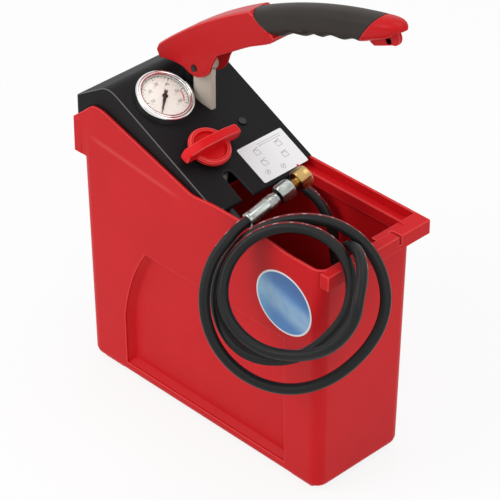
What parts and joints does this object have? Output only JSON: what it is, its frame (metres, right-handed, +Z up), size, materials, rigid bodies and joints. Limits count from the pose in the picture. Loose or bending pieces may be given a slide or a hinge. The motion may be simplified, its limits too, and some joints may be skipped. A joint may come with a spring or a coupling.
{
  "type": "hydrostatic test pump",
  "caption": "Hand-lever hydrostatic test pump: moulded water tank, hood with gauge and relief knob, slotted-eye rod pump and a coiled test hose.",
  "frame": {"origin": "centre of the bounding box footprint at floor level, hose left out", "axes": "+X towards the open front end and the lever tip, -Y towards the side with the recessed panel, +Z up"},
  "size_m": [0.4499, 0.2325, 0.5649],
  "materials": {
    "brass": "machined",
    "cast_grey": "cast, painted",
    "dark_steel": "dark",
    "dial_white": "matt",
    "grip_dark": "matt",
    "hood_black": "fine texture",
    "knob_red": "satin",
    "lens_glass": "clear",
    "lever_red": "satin",
    "nylon": "matt",
    "pointer_black": "matt",
    "rubber": "matt",
    "steel": "bright",
    "tank_red": "satin",
    "zinc": "zinc plated"
  },
  "bodies": {
    "base": {"body_screw_1": "steel", "body_screw_2": "steel", "body_screw_3": "steel", "body_screw_4": "steel", "cover_screw_rear_1": "steel", "cover_screw_rear_2": "steel", "cover_screw_top": "dark_steel", "deck_plate": "steel", "delivery_cap": "brass", "fixed_ferrule": "zinc", "foot_valve": "brass", "gauge_bezel": "steel", "gauge_case": "steel", "gauge_dial": "dial_white", "gauge_lens": "lens_glass", "gauge_stem": "brass", "gland_nut": "brass", "hose_coil": "rubber", "hose_ferrule": "zinc", "hose_lead": "rubber", "outlet_adaptor": "brass", "plate_screw_1": "steel", "plate_screw_2": "steel", "plate_screw_3": "steel", "plate_screw_4": "steel", "pump_body": "cast_grey", "pump_cover": "hood_black", "return_tube": "rubber", "rod_seal": "rubber", "spindle_nut": "brass", "strainer": "nylon", "suction_pipe": "nylon", "tank": "tank_red", "valve_seat_body": "brass"},
    "lever": {"lever_arm": "lever_red", "lever_grip": "grip_dark", "pivot_pin": "dark_steel", "pin_clip": "steel", "piston_pin": "steel"},
    "rod": {"piston_rod": "dark_steel", "piston": "brass", "piston_seal": "rubber"},
    "rod_ball": {"piston_ball": "steel"},
    "suction_ball": {"foot_ball": "steel"},
    "outlet_ball": {"delivery_ball": "steel"},
    "knob": {"relief_knob": "knob_red", "valve_spindle": "steel"},
    "pointer": {"gauge_pointer": "pointer_black"},
    "swivel": {"swivel_nut": "zinc", "end_nipple": "brass"}
  },
  "joints": [
    {"name": "lever_hinge", "type": "hinge", "parent": "base", "child": "lever", "pos_m": [-0.091, 0.018, 0.397], "axis": [0, 1, 0], "range_deg": [0, 42]},
    {"name": "rod_slide", "type": "slide", "parent": "base", "child": "rod", "axis": [0, 0, 1], "range_m": [0, 0.0203]},
    {"name": "rod_ball_lift", "type": "slide", "parent": "rod", "child": "rod_ball", "axis": [0, 0, 1], "range_m": [0, 0.0018]},
    {"name": "suction_ball_lift", "type": "slide", "parent": "base", "child": "suction_ball", "axis": [0, 0, 1], "range_m": [0, 0.0018]},
    {"name": "outlet_ball_lift", "type": "slide", "parent": "base", "child": "outlet_ball", "axis": [0, 0, 1], "range_m": [0, 0.0018]},
    {"name": "knob_turn", "type": "hinge", "parent": "base", "child": "knob", "pos_m": [-0.0395, -0.0279, 0.32741], "axis": [0.4415, 0, 0.8973], "range_deg": [0, 270]},
    {"name": "pointer_turn", "type": "hinge", "parent": "base", "child": "pointer", "pos_m": [-0.1089, -0.0279, 0.36156], "axis": [-0.4415, 0, -0.8973], "range_deg": [0, 270]},
    {"name": "swivel_turn", "type": "hinge", "parent": "base", "child": "swivel", "pos_m": [0.075, -0.0795, 0.316], "axis": [0.067, 0.9575, 0.2807], "continuous": true}
  ],
  "couplings": [
    {"joint": "rod_slide", "follows": "lever_hinge", "m_per_rad": 0.02739}
  ]
}
